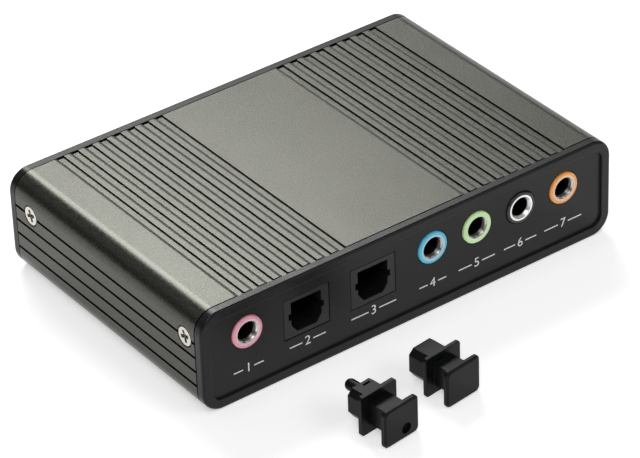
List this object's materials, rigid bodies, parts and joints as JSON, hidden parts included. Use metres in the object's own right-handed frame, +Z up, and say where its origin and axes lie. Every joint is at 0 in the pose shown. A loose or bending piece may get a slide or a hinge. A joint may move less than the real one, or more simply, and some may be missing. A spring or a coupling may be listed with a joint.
{
  "type": "usb sound card",
  "caption": "External sound box: a ribbed aluminium sleeve with black end caps, round audio jacks, optical sockets with loose dust plugs, and a USB socket.",
  "frame": {"origin": "centre of the housing's underside, on the surface it stands on", "axes": "+X to the right along the front panel, +Y from the front panel to the rear, +Z up"},
  "size_m": [0.09, 0.0858, 0.02],
  "materials": {
    "anodised_sleeve": "bead-blasted and anodised dark warm grey, satin",
    "cap_plastic": "black moulded plastic, satin",
    "screw_nickel": "bright nickel plated",
    "board_green": "green solder mask",
    "mic_jack_plastic": "pink moulded plastic",
    "line_in_jack_plastic": "light blue moulded plastic",
    "front_out_jack_plastic": "light green moulded plastic",
    "rear_out_jack_plastic": "black moulded plastic",
    "centre_bass_jack_plastic": "orange moulded plastic",
    "bush_nickel": "nickel plated, turned",
    "spring_bronze": "plated spring bronze",
    "optical_plastic": "dark grey moulded plastic, satin",
    "light_package": "tinted clear resin",
    "shell_steel": "tin plated sheet steel",
    "insulator_white": "off-white moulded plastic",
    "contact_gold": "gold plated",
    "led_lens": "tinted clear resin",
    "chip_black": "black moulded resin",
    "capacitor_sleeve": "dark blue shrink sleeve",
    "dust_plug_plastic": "soft black moulded plastic, satin"
  },
  "bodies": {
    "root": {"housing_sleeve": "anodised_sleeve", "front_end_cap": "cap_plastic", "rear_end_cap": "cap_plastic", "screw_left_front": "screw_nickel", "screw_left_rear": "screw_nickel", "screw_right_front": "screw_nickel", "screw_right_rear": "screw_nickel", "circuit_board": "board_green", "mic_jack": "mic_jack_plastic", "mic_bush": "bush_nickel", "mic_tip_spring": "spring_bronze", "mic_ring_spring": "spring_bronze", "line_in_jack": "line_in_jack_plastic", "line_in_bush": "bush_nickel", "line_in_tip_spring": "spring_bronze", "line_in_ring_spring": "spring_bronze", "front_out_jack": "front_out_jack_plastic", "front_out_bush": "bush_nickel", "front_out_tip_spring": "spring_bronze", "front_out_ring_spring": "spring_bronze", "rear_out_jack": "rear_out_jack_plastic", "rear_out_bush": "bush_nickel", "rear_out_tip_spring": "spring_bronze", "rear_out_ring_spring": "spring_bronze", "centre_bass_jack": "centre_bass_jack_plastic", "centre_bass_bush": "bush_nickel", "centre_bass_tip_spring": "spring_bronze", "centre_bass_ring_spring": "spring_bronze", "optical_in_housing": "optical_plastic", "optical_out_housing": "optical_plastic", "optical_receiver": "light_package", "optical_emitter": "light_package", "usb_shell": "shell_steel", "usb_insulator": "insulator_white", "usb_contact_1": "contact_gold", "usb_contact_2": "contact_gold", "usb_contact_3": "contact_gold", "usb_contact_4": "contact_gold", "status_led": "led_lens", "led_holder": "chip_black", "audio_chip": "chip_black", "memory_chip": "chip_black", "amplifier_1": "chip_black", "amplifier_2": "chip_black", "voltage_regulator": "chip_black", "chip_resistors": "chip_black", "crystal": "shell_steel", "capacitor_1": "capacitor_sleeve", "capacitor_2": "capacitor_sleeve", "capacitor_3": "capacitor_sleeve", "capacitor_4": "capacitor_sleeve", "capacitor_5": "capacitor_sleeve", "capacitor_6": "capacitor_sleeve", "capacitor_7": "capacitor_sleeve", "capacitor_8": "capacitor_sleeve", "dust_plug_in": "dust_plug_plastic", "dust_plug_out": "dust_plug_plastic"}
  },
  "joints": []
}
